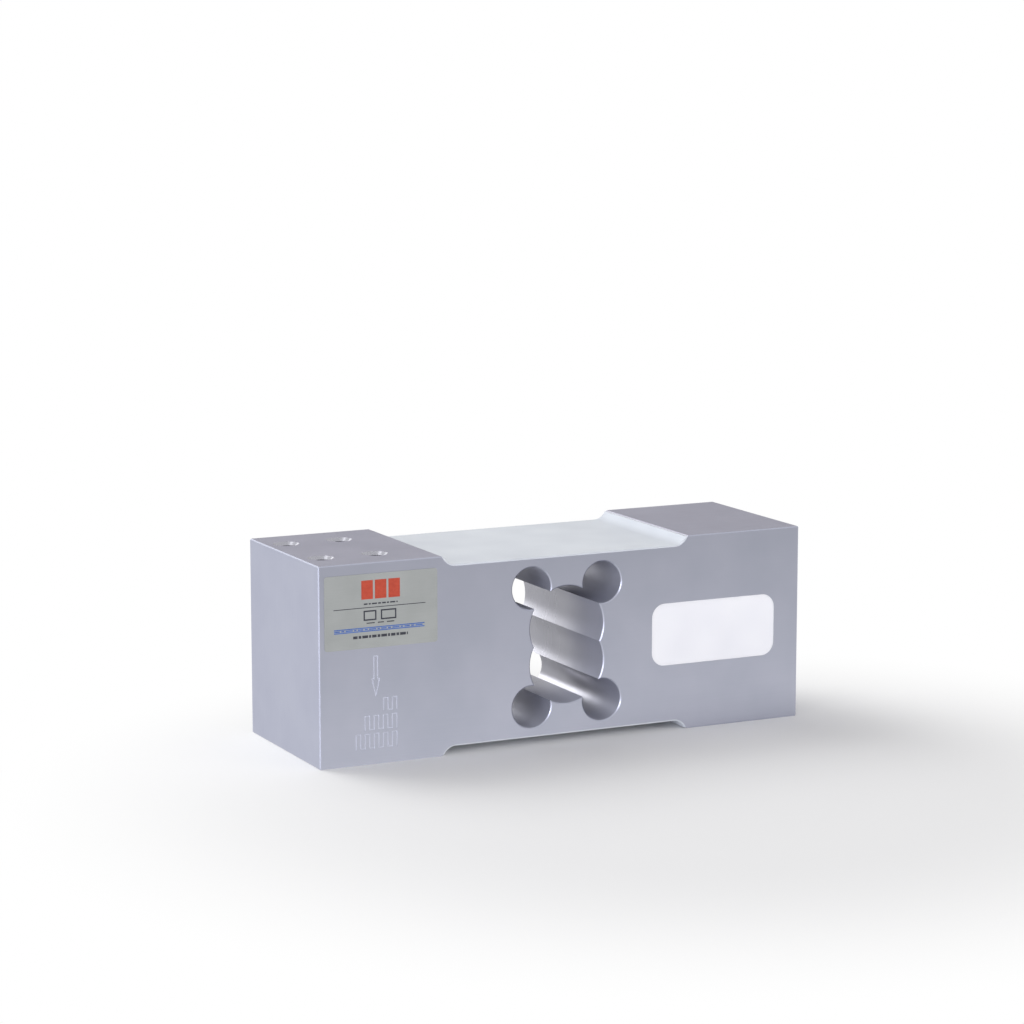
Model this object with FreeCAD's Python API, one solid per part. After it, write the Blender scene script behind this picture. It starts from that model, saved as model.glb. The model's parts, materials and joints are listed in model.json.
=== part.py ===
import FreeCAD, Part
import math
import os

# Single point load cell of the platform scale kind, in millimetres.
# One bar of aluminium is bored and milled so that its middle bends as a parallelogram.
# X runs along the bar, from the load end (-X) to the fixed end (+X), and Z points up.
# The pocket for the compensation board opens in the -Y face.
# The origin is the centre of the bar's footprint, on the plane that the bar rests on.

# The bar, and the raised pads that a shallow trough leaves at its two ends, above and below
BAR_LENGTH = 150.0
BAR_WIDTH = 50.0
BAR_HEIGHT = 56.0
EDGE_BREAK = 0.3
PAD_LENGTH = 36.5
TROUGH_DEPTH = 3.0
TROUGH_END_RADIUS = 4.5
LIP_RADIUS = 0.3

# Window through the bar: a flexure bore at each corner and two large bores between them
FLEXURE_BORE_RADIUS = 6.0
FLEXURE_PITCH = 22.0
FLEXURE_WEB = 2.2
LARGE_BORE_PAST_FLEXURE = 0.5
LARGE_BORE_DROP = 11.55
BORE_BREAK = 0.3

# Tapped holes, M6, drilled into the top of the load end and the underside of the fixed end
TAP_DRILL_RADIUS = 2.5
TAP_MOUTH_BREAK = 1.2
TAP_DEPTH = 13.0
TAP_END_DISTANCE = 6.0
TAP_PITCH_ALONG = 16.0
TAP_PITCH_ACROSS = 25.0
DRILL_POINT_ANGLE = 118.0

# Pocket for the compensation board, and the drilled ways that lead into it
POCKET_HEIGHT = 18.0
POCKET_DEPTH = 14.0
POCKET_CORNER_RADIUS = 4.0
POCKET_END_WALL = 8.0
POCKET_PAST_PAD = 11.5
WIRE_WAY_RADIUS = 1.5
WIRE_WAY_INSET = 4.2

# Rubber bush for the cable, seated in the end wall of the pocket
CABLE_HOLE_RADIUS = 2.6
CABLE_HOLE_LEAD_IN = 0.5
BUSH_WALL = 0.9
BUSH_FLANGE_WIDTH = 1.0
BUSH_FLANGE_THICKNESS = 1.2

# Foil strain gauges: a film that carries a meander of foil with two solder tabs
FILM_THICKNESS = 0.06
FILM_MARGIN = 0.4
FOIL_THICKNESS = 0.03
GRID_STRANDS = 9
GRID_LENGTH = 5.0
STRAND_WIDTH = 0.28
STRAND_GAP = 0.22
GRID_LOOP = 0.5
TAB_LENGTH = 2.5
TAB_WIDTH = 1.2
TAB_GAP = 0.3
TAB_PITCH = 5.0

# Enamelled wires from the gauges to the board, and the sleeves that guard them in the ways
WIRE_RADIUS = 0.1
WIRE_SIDES = 8
WIRE_END_INSET = 0.5
WIRE_ROW_PITCH = 0.4
SLEEVE_WALL = 0.25
SLEEVE_CLEARANCE = 0.1
SLEEVE_INTO_POCKET = 1.0

# Sealing coat over the gauges, cast along the floor and the ends of each trough
COAT_OVER_WIRES = 0.21
COAT_SIDE_INSET = 0.1
COAT_BELOW_LIP = 0.05

# Compensation board, held to the pocket's floor by a foam tape
BOARD_THICKNESS = 1.6
BOARD_END_GAP = 3.0
BOARD_SIDE_GAP = 2.0
TAPE_THICKNESS = 0.8
TAPE_INSET = 1.5
SOLDER_PAD_LENGTH = 1.8
SOLDER_PAD_HEIGHT = 1.0
SOLDER_PAD_THICKNESS = 0.2
CABLE_PAD_COUNT = 6
CABLE_PAD_INSET = 2.5
CABLE_PAD_EDGE = 1.5
TRIM_COUNT = 4
TRIM_LENGTH = 3.2
TRIM_HEIGHT = 1.6
TRIM_BODY_THICKNESS = 0.5
TRIM_CAP_LENGTH = 0.6
TRIM_CAP_RISE = 0.1

# Foil plate on the -Y face at the load end
PLATE_LENGTH = 33.5
PLATE_HEIGHT = 20.5
PLATE_THICKNESS = 0.12
PLATE_CORNER_RADIUS = 0.8
PLATE_FROM_END = 1.6
PLATE_FROM_TOP = 3.0

# How far a cutter stands out past the face that it opens in
CUT_OVER = 2.0

# Places on the bar that follow from the sizes above
END_X = BAR_LENGTH / 2
FRONT_Y = -BAR_WIDTH / 2
MID_Z = BAR_HEIGHT / 2
UP = FreeCAD.Vector(0, 0, 1)

# The upper trough's section: its floor, the arc at its end and the rounded lip of the pad
FLOOR_Z = BAR_HEIGHT - TROUGH_DEPTH
TROUGH_END_X = END_X - PAD_LENGTH
ARC_CENTRE_Z = FLOOR_Z + TROUGH_END_RADIUS
ARC_CENTRE_X = TROUGH_END_X - math.sqrt(TROUGH_END_RADIUS**2 - (ARC_CENTRE_Z - BAR_HEIGHT) ** 2)
LIP_DROP = ARC_CENTRE_Z - BAR_HEIGHT + LIP_RADIUS
LIP_CENTRE_X = ARC_CENTRE_X + math.sqrt((TROUGH_END_RADIUS + LIP_RADIUS) ** 2 - LIP_DROP**2)
LIP_TANGENT_Z = ARC_CENTRE_Z - LIP_DROP * TROUGH_END_RADIUS / (TROUGH_END_RADIUS + LIP_RADIUS)

# The window's bores, worked out so that a web of the named thickness stays under the trough
FLEXURE_RISE = FLOOR_Z - FLEXURE_WEB - FLEXURE_BORE_RADIUS - MID_Z
LARGE_BORE_RADIUS = FLEXURE_PITCH / 2 + LARGE_BORE_PAST_FLEXURE
LARGE_BORE_RISE = FLEXURE_RISE - LARGE_BORE_DROP

# The pocket, the board in it and the ways into it
POCKET_RIGHT_X = END_X - POCKET_END_WALL
POCKET_LEFT_X = TROUGH_END_X - POCKET_PAST_PAD
POCKET_LENGTH = POCKET_RIGHT_X - POCKET_LEFT_X
POCKET_X = (POCKET_LEFT_X + POCKET_RIGHT_X) / 2
POCKET_Y = FRONT_Y + POCKET_DEPTH / 2
POCKET_FLOOR_Y = FRONT_Y + POCKET_DEPTH
WIRE_WAY_X = POCKET_LEFT_X + WIRE_WAY_INSET
BUSH_RADIUS = CABLE_HOLE_RADIUS + BUSH_WALL
FLANGE_RADIUS = BUSH_RADIUS + BUSH_FLANGE_WIDTH
BOARD_LENGTH = POCKET_LENGTH - 2 * BOARD_END_GAP
BOARD_HEIGHT = POCKET_HEIGHT - 2 * BOARD_SIDE_GAP
BOARD_FRONT_Y = POCKET_FLOOR_Y - TAPE_THICKNESS - BOARD_THICKNESS
CABLE_PAD_X = POCKET_X + BOARD_LENGTH / 2 - CABLE_PAD_INSET

# The gauges on the trough's floor, each over a web, with their tabs towards -Y
GAUGE_X = FLEXURE_PITCH / 2
STRAND_PITCH = STRAND_WIDTH + STRAND_GAP
FIRST_STRAND_Y = -STRAND_PITCH * (GRID_STRANDS - 1) / 2
GRID_REACH = GRID_LENGTH / 2 + GRID_LOOP + STRAND_GAP + GRID_LOOP
TAB_Y = FIRST_STRAND_Y - STRAND_WIDTH / 2 - TAB_GAP - TAB_WIDTH / 2
FILM_FRONT_Y = TAB_Y - TAB_WIDTH / 2 - FILM_MARGIN
FILM_BACK_Y = -FIRST_STRAND_Y + STRAND_WIDTH / 2 + FILM_MARGIN
FOIL_Z = FLOOR_Z + FILM_THICKNESS
WIRE_Z = FOIL_Z + FOIL_THICKNESS + WIRE_RADIUS
COAT_THICKNESS = FILM_THICKNESS + FOIL_THICKNESS + 2 * WIRE_RADIUS + COAT_OVER_WIRES

# The tabs that a lead starts on, seen from the drilled way.
# The two gauges of a trough are joined at their inner tabs and so share one of the leads.
LEAD_TABS = [(1, 1), (1, -1), (-1, -1)]


def vec(x, y, z):
    return FreeCAD.Vector(x, y, z)


def block(x, y, bottom_z, length, width, height):
    """A block centred on x, y that stands on bottom_z."""
    return Part.makeBox(length, width, height, vec(x - length / 2, y - width / 2, bottom_z))


def rounded_slab(x, z, length, height, corner_radius, start_y, depth):
    """A slab with rounded corners, centred on x, z, that runs from start_y towards +Y."""
    slab = Part.makeBox(length, depth, height, vec(x - length / 2, start_y, z - height / 2))
    corners = [edge for edge in slab.Edges if abs(edge.tangentAt(edge.FirstParameter).y) > 0.5]
    return slab.makeFillet(corner_radius, corners)


def underside_twin(shape):
    """The same piece under the bar, mirrored in the bar's middle plane."""
    return shape.mirror(vec(0, 0, MID_Z), UP)


def trough_end_arc(side, inset, top_z):
    """One end of the upper trough's section, from the floor up to top_z, moved inwards by inset."""
    centre = vec(side * ARC_CENTRE_X, 0, ARC_CENTRE_Z)
    radius = TROUGH_END_RADIUS - inset
    rise = ARC_CENTRE_Z - top_z
    top = vec(side * (ARC_CENTRE_X + math.sqrt(radius**2 - rise**2)), 0, top_z)
    bottom = centre - UP * radius
    middle = centre + ((top - centre) + (bottom - centre)).normalize() * radius
    return Part.Arc(bottom, middle, top).toShape()


def trough_floor(inset):
    """The flat stretch between the two end arcs."""
    z = FLOOR_Z + inset
    return Part.makeLine(vec(-ARC_CENTRE_X, 0, z), vec(ARC_CENTRE_X, 0, z))


def pad_lip_arc(side):
    """The rounded edge of a pad, tangent to the trough's end arc and to the pad's face."""
    centre = vec(side * LIP_CENTRE_X, 0, BAR_HEIGHT - LIP_RADIUS)
    towards_arc = (vec(side * ARC_CENTRE_X, 0, ARC_CENTRE_Z) - centre).normalize()
    middle = centre + (towards_arc + UP).normalize() * LIP_RADIUS
    return Part.Arc(centre + towards_arc * LIP_RADIUS, middle, centre + UP * LIP_RADIUS).toShape()


def across_bar(edges, half_width):
    """A closed section, given as edges in any order, drawn out evenly to both sides of the middle."""
    face = Part.Face(Part.Wire(Part.sortEdges(edges)[0]))
    solid = face.extrude(vec(0, 2 * half_width, 0))
    solid.translate(vec(0, -half_width, 0))
    return solid


def upper_trough_cutter():
    """What is milled from the top of the bar, across its whole width, between the two pads."""
    edges = [trough_floor(0)]
    for side in (-1, 1):
        edges.append(trough_end_arc(side, 0, LIP_TANGENT_Z))
        edges.append(pad_lip_arc(side))
    left, right = -LIP_CENTRE_X, LIP_CENTRE_X
    above = BAR_HEIGHT + CUT_OVER
    lid = Part.makePolygon(
        [vec(left, 0, BAR_HEIGHT), vec(left, 0, above), vec(right, 0, above), vec(right, 0, BAR_HEIGHT)]
    )
    return across_bar(edges + lid.Edges, BAR_WIDTH / 2 + CUT_OVER)


def cross_bore(x, z, radius):
    """A bore right through the bar along Y, with both mouths broken at 45 degrees."""
    start_y = FRONT_Y - CUT_OVER
    bore = Part.makeCylinder(radius, BAR_WIDTH + 2 * CUT_OVER, vec(x, start_y, z), vec(0, 1, 0))
    reach = CUT_OVER + BORE_BREAK
    front = Part.makeCone(radius + reach, radius, reach, vec(x, start_y, z), vec(0, 1, 0))
    back = Part.makeCone(radius + reach, radius, reach, vec(x, -start_y, z), vec(0, -1, 0))
    return bore.fuse([front, back])


def window_cutter():
    """The four flexure bores and the two large bores that join them into one window."""
    bores = []
    for level in (-1, 1):
        bores.append(cross_bore(0, MID_Z + level * LARGE_BORE_RISE, LARGE_BORE_RADIUS))
        for side in (-1, 1):
            x = side * FLEXURE_PITCH / 2
            bores.append(cross_bore(x, MID_Z + level * FLEXURE_RISE, FLEXURE_BORE_RADIUS))
    return bores[0].fuse(bores[1:])


def upper_tap_cutter(x, y):
    """A blind hole in the top at tap drill size, with its drill point and a countersunk mouth."""
    top = vec(x, y, BAR_HEIGHT + CUT_OVER)
    point_height = TAP_DRILL_RADIUS / math.tan(math.radians(DRILL_POINT_ANGLE / 2))
    mouth_height = TAP_MOUTH_BREAK + CUT_OVER
    drill = Part.makeCylinder(TAP_DRILL_RADIUS, TAP_DEPTH + CUT_OVER, top, -UP)
    point = Part.makeCone(TAP_DRILL_RADIUS, 0, point_height, vec(x, y, BAR_HEIGHT - TAP_DEPTH), -UP)
    mouth = Part.makeCone(TAP_DRILL_RADIUS + mouth_height, TAP_DRILL_RADIUS, mouth_height, top, -UP)
    return drill.fuse([point, mouth])


def tap_cutters():
    """The hole pattern of the load end in its top, and that of the fixed end in its underside."""
    cutters = []
    for row in range(2):
        x = END_X - TAP_END_DISTANCE - row * TAP_PITCH_ALONG
        for side in (-1, 1):
            y = side * TAP_PITCH_ACROSS / 2
            cutters.append(upper_tap_cutter(-x, y))
            cutters.append(underside_twin(upper_tap_cutter(x, y)))
    return cutters


def pocket_solid(start_y):
    """The pocket's room, from start_y to its floor."""
    depth = POCKET_FLOOR_Y - start_y
    return rounded_slab(
        POCKET_X, MID_Z, POCKET_LENGTH, POCKET_HEIGHT, POCKET_CORNER_RADIUS, start_y, depth
    )


def wire_way_cutter():
    """The drilled way between the floors of both troughs, which crosses the pocket."""
    height = 2 * (FLOOR_Z - MID_Z + CUT_OVER)
    return Part.makeCylinder(WIRE_WAY_RADIUS, height, vec(WIRE_WAY_X, POCKET_Y, FLOOR_Z + CUT_OVER), -UP)


def along_inlet(radius, start_x, end_x):
    """A cylinder on the axis of the cable inlet."""
    return Part.makeCylinder(radius, end_x - start_x, vec(start_x, POCKET_Y, MID_Z), vec(1, 0, 0))


def inlet_cutter():
    """The stepped hole for the bush, through the end wall of the pocket."""
    hole = along_inlet(BUSH_RADIUS, POCKET_RIGHT_X - CUT_OVER, END_X + CUT_OVER)
    return hole.fuse(along_inlet(FLANGE_RADIUS, END_X - BUSH_FLANGE_THICKNESS, END_X + CUT_OVER))


def beam_body():
    """The machined bar: the spring element that carries everything else."""
    bar = Part.makeBox(BAR_LENGTH, BAR_WIDTH, BAR_HEIGHT, vec(-END_X, FRONT_Y, 0))
    bar = bar.makeChamfer(EDGE_BREAK, bar.Edges)
    trough = upper_trough_cutter()
    cutters = [trough, underside_twin(trough), window_cutter(), pocket_solid(FRONT_Y - CUT_OVER)]
    cutters += [wire_way_cutter(), inlet_cutter()]
    return bar.cut(cutters + tap_cutters())


def gauge_carrier(side):
    """The film under one gauge's foil, bonded to the trough's floor over a web."""
    width = FILM_BACK_Y - FILM_FRONT_Y
    y = (FILM_BACK_Y + FILM_FRONT_Y) / 2
    return block(side * GAUGE_X, y, FLOOR_Z, 2 * (GRID_REACH + FILM_MARGIN), width, FILM_THICKNESS)


def foil(x, y, length, width):
    """A patch of foil on the film."""
    return block(x, y, FOIL_Z, length, width, FOIL_THICKNESS)


def foil_lead(x, last_strand_y):
    """The foil beside the strands that leads from one of them down to a tab."""
    middle_y = (last_strand_y + TAB_Y) / 2
    return foil(x, middle_y, GRID_LOOP, last_strand_y - TAB_Y + STRAND_WIDTH)


def gauge_grid(side):
    """The gauge's foil: strands along the bar, the loops that join them, two leads and two tabs."""
    x = side * GAUGE_X
    loop_offset = (GRID_LENGTH + GRID_LOOP) / 2
    patches = []
    for strand in range(GRID_STRANDS):
        patches.append(foil(x, FIRST_STRAND_Y + strand * STRAND_PITCH, GRID_LENGTH, STRAND_WIDTH))
    for gap in range(GRID_STRANDS - 1):
        end = 1 if gap % 2 == 0 else -1
        y = FIRST_STRAND_Y + (gap + 0.5) * STRAND_PITCH
        patches.append(foil(x + end * loop_offset, y, GRID_LOOP, STRAND_PITCH + STRAND_WIDTH))
    arm_length = GRID_REACH - GRID_LENGTH / 2
    patches.append(foil(x + GRID_REACH - arm_length / 2, -FIRST_STRAND_Y, arm_length, STRAND_WIDTH))
    patches.append(foil_lead(x - loop_offset, FIRST_STRAND_Y))
    patches.append(foil_lead(x + GRID_REACH - GRID_LOOP / 2, -FIRST_STRAND_Y))
    for end in (-1, 1):
        patches.append(foil(x + end * TAB_PITCH / 2, TAB_Y, TAB_LENGTH, TAB_WIDTH))
    return patches[0].fuse(patches[1:]).removeSplitter()


def thin_wire(points):
    """A wire through the points, drawn with a few flat sides and with sharp turns."""
    start = points[0]
    along = (points[1] - start).normalize()
    across = along.cross(UP) * WIRE_RADIUS
    corners = []
    for corner in range(WIRE_SIDES + 1):
        turn = FreeCAD.Rotation(along, 360 * (corner + 0.5) / WIRE_SIDES)
        corners.append(start + turn.multVec(across))
    section = Part.makePolygon(corners)
    mitred = 1
    return Part.makePolygon(points).makePipeShell([section], True, True, mitred)


def board_row_rise(order):
    """How far a row of solder pads lies above the middle of the board, from the innermost row."""
    pitch = (BOARD_HEIGHT / 2 - SOLDER_PAD_HEIGHT) / len(LEAD_TABS)
    return (order + 1) * pitch


def lead_wires():
    """The leads that fan in from the tabs to the drilled way, and the wire that joins two tabs."""
    inner_tab_x = GAUGE_X - TAB_PITCH / 2
    joined_tabs = [vec(-inner_tab_x, TAB_Y, WIRE_Z), vec(inner_tab_x - WIRE_END_INSET, TAB_Y, WIRE_Z)]
    wires = [thin_wire(joined_tabs)]
    for order, (side, end) in enumerate(LEAD_TABS):
        start_x = side * GAUGE_X + end * TAB_PITCH / 2 + WIRE_END_INSET
        way_x = WIRE_WAY_X + ((len(LEAD_TABS) - 1) / 2 - order) * WIRE_ROW_PITCH
        end_z = MID_Z + board_row_rise(len(LEAD_TABS) - 1 - order)
        points = [
            vec(start_x, TAB_Y, WIRE_Z),
            vec(way_x, POCKET_Y, WIRE_Z),
            vec(way_x, POCKET_Y, end_z),
            vec(way_x, BOARD_FRONT_Y - SOLDER_PAD_THICKNESS, end_z),
        ]
        wires.append(thin_wire(points))
    return Part.makeCompound(wires)


def wire_sleeve():
    """The tube that lines the drilled way between the trough and the pocket."""
    outer = WIRE_WAY_RADIUS - SLEEVE_CLEARANCE
    height = FLOOR_Z - MID_Z - POCKET_HEIGHT / 2 + SLEEVE_INTO_POCKET
    top = vec(WIRE_WAY_X, POCKET_Y, FLOOR_Z)
    tube = Part.makeCylinder(outer, height, top, -UP)
    return tube.cut(Part.makeCylinder(outer - SLEEVE_WALL, height, top, -UP))


def gauge_coat(embedded):
    """The sealing that follows the trough's floor and ends, cast round what is bonded there."""
    top_z = LIP_TANGENT_Z - COAT_BELOW_LIP
    edges = [trough_floor(0), trough_floor(COAT_THICKNESS)]
    for side in (-1, 1):
        under = trough_end_arc(side, 0, top_z)
        over = trough_end_arc(side, COAT_THICKNESS, top_z)
        edges += [under, over, Part.makeLine(under.Vertexes[-1].Point, over.Vertexes[-1].Point)]
    return across_bar(edges, BAR_WIDTH / 2 - COAT_SIDE_INSET).cut(embedded)


def cable_bush():
    """The rubber bush in the end wall, with its flange flush with the bar's end."""
    body = along_inlet(BUSH_RADIUS, POCKET_RIGHT_X, END_X)
    flange = along_inlet(FLANGE_RADIUS, END_X - BUSH_FLANGE_THICKNESS, END_X)
    hole = along_inlet(CABLE_HOLE_RADIUS, POCKET_RIGHT_X, END_X)
    lead_in_start = vec(END_X - CABLE_HOLE_LEAD_IN, POCKET_Y, MID_Z)
    lead_in_radius = CABLE_HOLE_RADIUS + CABLE_HOLE_LEAD_IN
    lead_in = Part.makeCone(
        CABLE_HOLE_RADIUS, lead_in_radius, CABLE_HOLE_LEAD_IN, lead_in_start, vec(1, 0, 0)
    )
    return body.fuse(flange).removeSplitter().cut([hole, lead_in])


def flat_in_pocket(x, z, length, height, front_y, thickness):
    """A flat block that stands parallel to the pocket's floor, centred on x, z."""
    return Part.makeBox(length, thickness, height, vec(x - length / 2, front_y, z - height / 2))


def compensation_board():
    return flat_in_pocket(POCKET_X, MID_Z, BOARD_LENGTH, BOARD_HEIGHT, BOARD_FRONT_Y, BOARD_THICKNESS)


def board_tape():
    length = BOARD_LENGTH - 2 * TAPE_INSET
    height = BOARD_HEIGHT - 2 * TAPE_INSET
    return flat_in_pocket(
        POCKET_X, MID_Z, length, height, POCKET_FLOOR_Y - TAPE_THICKNESS, TAPE_THICKNESS
    )


def solder_pad(x, z):
    front_y = BOARD_FRONT_Y - SOLDER_PAD_THICKNESS
    return flat_in_pocket(x, z, SOLDER_PAD_LENGTH, SOLDER_PAD_HEIGHT, front_y, SOLDER_PAD_THICKNESS)


def gauge_solder_pads():
    """The column of pads in line with the drilled way, for the leads from both troughs."""
    rises = [board_row_rise(order) for order in range(len(LEAD_TABS))]
    return Part.makeCompound(
        [solder_pad(WIRE_WAY_X, MID_Z + level * rise) for rise in rises for level in (-1, 1)]
    )


def cable_solder_pads():
    """The column of pads for the cores of the cable."""
    pitch = (BOARD_HEIGHT - 2 * CABLE_PAD_EDGE) / (CABLE_PAD_COUNT - 1)
    first_z = MID_Z - BOARD_HEIGHT / 2 + CABLE_PAD_EDGE
    return Part.makeCompound(
        [solder_pad(CABLE_PAD_X, first_z + row * pitch) for row in range(CABLE_PAD_COUNT)]
    )


def trim_resistor(order):
    """A chip resistor between the two columns of pads: a flat body with raised end caps."""
    x = WIRE_WAY_X + (order + 1) * (CABLE_PAD_X - WIRE_WAY_X) / (TRIM_COUNT + 1)
    body_y = BOARD_FRONT_Y - TRIM_BODY_THICKNESS
    chip = flat_in_pocket(x, MID_Z, TRIM_LENGTH, TRIM_HEIGHT, body_y, TRIM_BODY_THICKNESS)
    cap_offset = (TRIM_LENGTH - TRIM_CAP_LENGTH) / 2
    cap_y = body_y - TRIM_CAP_RISE
    for end in (-1, 1):
        cap_x = x + end * cap_offset
        cap = flat_in_pocket(cap_x, MID_Z, TRIM_CAP_LENGTH, TRIM_HEIGHT, cap_y, TRIM_CAP_RISE)
        chip = chip.fuse(cap)
    return chip.removeSplitter()


def nameplate():
    """The foil plate stuck on the front face, near the load end's upper corner."""
    x = -END_X + PLATE_FROM_END + PLATE_LENGTH / 2
    z = BAR_HEIGHT - PLATE_FROM_TOP - PLATE_HEIGHT / 2
    front_y = FRONT_Y - PLATE_THICKNESS
    return rounded_slab(x, z, PLATE_LENGTH, PLATE_HEIGHT, PLATE_CORNER_RADIUS, front_y, PLATE_THICKNESS)


def upper_trough_pieces():
    """What is bonded in the upper trough and leads down to the pocket, and the coat over it."""
    pieces = {}
    for word, side in (("left", -1), ("right", 1)):
        pieces["gauge_carrier_LEVEL_" + word] = gauge_carrier(side)
        pieces["gauge_grid_LEVEL_" + word] = gauge_grid(side)
    pieces["lead_wires_LEVEL"] = lead_wires()
    pieces["wire_sleeve_LEVEL"] = wire_sleeve()
    pieces["gauge_coat_LEVEL"] = gauge_coat(list(pieces.values()))
    return pieces


def board_pieces():
    """The board on its tape, and what is soldered on it."""
    pieces = {
        "compensation_board": compensation_board(),
        "board_tape": board_tape(),
        "gauge_solder_pads": gauge_solder_pads(),
        "cable_solder_pads": cable_solder_pads(),
    }
    for order in range(TRIM_COUNT):
        pieces[f"trim_resistor_{order + 1}"] = trim_resistor(order)
    return pieces


def all_pieces():
    """Every piece of the load cell, by the name of its node."""
    pieces = board_pieces()
    for name, shape in upper_trough_pieces().items():
        pieces[name.replace("LEVEL", "upper")] = shape
        pieces[name.replace("LEVEL", "lower")] = underside_twin(shape)
    pieces["pocket_potting"] = pocket_solid(FRONT_Y).cut(list(pieces.values()))
    pieces["cable_bush"] = cable_bush()
    pieces["nameplate"] = nameplate()
    pieces["beam_body"] = beam_body()
    return pieces


os.makedirs("parts", exist_ok=True)
for piece_name, piece_shape in all_pieces().items():
    piece_shape.exportStep(f"parts/{piece_name}.step")
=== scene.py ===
import json
import math

import bmesh
import bpy
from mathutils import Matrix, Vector, noise


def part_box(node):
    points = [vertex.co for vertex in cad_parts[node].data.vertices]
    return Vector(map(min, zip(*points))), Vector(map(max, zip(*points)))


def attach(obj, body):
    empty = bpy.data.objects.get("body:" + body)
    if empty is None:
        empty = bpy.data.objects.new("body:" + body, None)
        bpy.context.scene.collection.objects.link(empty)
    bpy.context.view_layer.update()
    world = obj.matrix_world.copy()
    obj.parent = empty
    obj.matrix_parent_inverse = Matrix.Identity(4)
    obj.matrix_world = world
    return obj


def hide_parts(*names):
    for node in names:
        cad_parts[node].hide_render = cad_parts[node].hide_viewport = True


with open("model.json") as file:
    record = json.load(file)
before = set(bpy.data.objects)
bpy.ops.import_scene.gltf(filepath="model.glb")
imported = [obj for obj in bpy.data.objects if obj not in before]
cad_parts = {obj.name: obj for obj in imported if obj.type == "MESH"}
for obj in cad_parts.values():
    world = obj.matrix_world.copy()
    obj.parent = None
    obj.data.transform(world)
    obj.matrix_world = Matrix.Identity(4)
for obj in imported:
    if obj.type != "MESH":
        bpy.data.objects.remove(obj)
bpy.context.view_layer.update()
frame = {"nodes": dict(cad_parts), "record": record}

# Looks of a single point load cell: a machined aluminium bar with silicone in its troughs and pocket.
# Sizes are written in millimetres and turned to metres by MM.
# X runs along the bar towards the cable inlet, -Y is the side with the pocket and the plate, Z points up.

MM = 0.001

BAR_LOW, BAR_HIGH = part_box("beam_body")
FRONT_Y = BAR_LOW.y
MIDDLE = (BAR_LOW + BAR_HIGH) / 2
HALF = (BAR_HIGH - BAR_LOW) / 2

# The bar's finishes, in the order of its material slots
SIDES, ENDS, PADS, BORES, EDGES, TAPPED, ENGRAVED = range(7)

# How near to the bar's box a face of an edge or of a trough is, and how far in the tapped holes reach
EDGE_REACH = 0.6 * MM
TROUGH_REACH = 3.4 * MM
HOLES_REACH = 33 * MM

# M6 threads in the holes, which the solids have at the size of the tap drill
TAP_DRILL_RADIUS = 2.5 * MM
THREAD_PITCH = 1.0 * MM
THREAD_DEPTH = 0.54 * MM
THREAD_TURNS = 10.5
THREAD_START = 0.45 * MM
THREAD_STEPS_PER_TURN = 28
# The height of the groove's section, as a share of its depth
THREAD_FLATNESS = 0.62

# Grooves cut into the front face below the plate, measured from the load end and from the bottom
STROKE_RADIUS = 0.18 * MM
STROKE_SIDES = 8
STROKE_BALL_DETAIL = 2
ARROW_X = 16.6 * MM
ARROW_TOP = 30.1 * MM
ARROW_NECK = 23.8 * MM
ARROW_TIP = 19.1 * MM
ARROW_SHAFT = 1.1 * MM
ARROW_HEAD = 2.2 * MM
WAVES_RIGHT = 22.8 * MM
# Each row's bottom, top and step in millimetres, and its number of bars
WAVES = ((14.9, 18.3, 1.3, 4), (9.8, 13.6, 1.35, 8), (4.6, 8.6, 1.35, 10))

# Silicone coat over the gauges. The shares are what is left of its thickness at its lips and at its rims.
TROUGH_END_RADIUS = 4.5 * MM
COAT_THICKNESS = 0.5 * MM
COAT_EDGE = 0.4 * MM
COAT_LIP_SHARE = 0.25
COAT_RIM_SHARE = 0.4
COAT_WAVE = 0.05 * MM
COAT_WAVE_LENGTH = 14 * MM
COAT_WAVE_WIDTH = 9 * MM

# Silicone in the pocket. The rim's height and width and the insets are in millimetres.
POCKET_CORNER = 4.0 * MM
POTTING_RIM_HEIGHT = 0.06
POTTING_RIM_WIDTH = 0.08
POTTING_INSETS = (0.03, 0.08, 0.16, 0.3, 0.5, 0.8, 1.2, 1.8, 2.6, 3.6)
MENISCUS_DEPTH = 0.22 * MM
MENISCUS_WIDTH = 0.7 * MM

# Ink on the plate
INK_THICKNESS = 0.02 * MM

# Rubber bush
BUSH_FLANGE_RADIUS = 4.5 * MM
BUSH_FLANGE_THICKNESS = 1.2 * MM
BUSH_BODY_RADIUS = 3.5 * MM
BUSH_HOLE_RADIUS = 2.6 * MM
BUSH_LIP_RADIUS = 0.3 * MM
BUSH_MOUTH_RADIUS = 0.5 * MM
BUSH_ARC_STEPS = 4
BUSH_TURNS = 64

# The floor keeps its shadow round the first point, and in the metal's mirror round the second. It runs
# out to white between the two distances, which the mirror shortens.
FLOOR_HALF = 12.0
FLOOR_DROP = 0.02 * MM
SHADOW_MIDDLE = (5 * MM, -85 * MM, 0)
MIRRORED_MIDDLE = (60 * MM, 40 * MM, 0)
SHADOW_KEPT = 75 * MM
SHADOW_GONE = 185 * MM
MIRRORED_SHORTER = 1.7

# The world's strength where it only lights. Rays that see it get 1, which is white.
LIGHT_LEVEL = 0.38

# The way towards the grey flag that the raised pads mirror, and how far the studio dims for the metal
# there and on the camera's side, where the floor dims between two places on Y
FLAG_WAY = (0.43, 0.87, 0.24)
FLAG_DIM = 0.78
FRONT_WAY = (0, -1, 0)
FRONT_DIM = 0.6
FRONT_START = -80 * MM
FRONT_END = -320 * MM

# The camera's lens in millimetres, its place, and the way that it looks, all fitted to the photograph
CAMERA_LENS = 110.7
CAMERA_SENSOR = 36.0
CAMERA_PLACE = (-0.39336, -0.79327, 0.20671)
CAMERA_WAY = (0.43402, 0.88632, -0.16146)


# Small helpers


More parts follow.
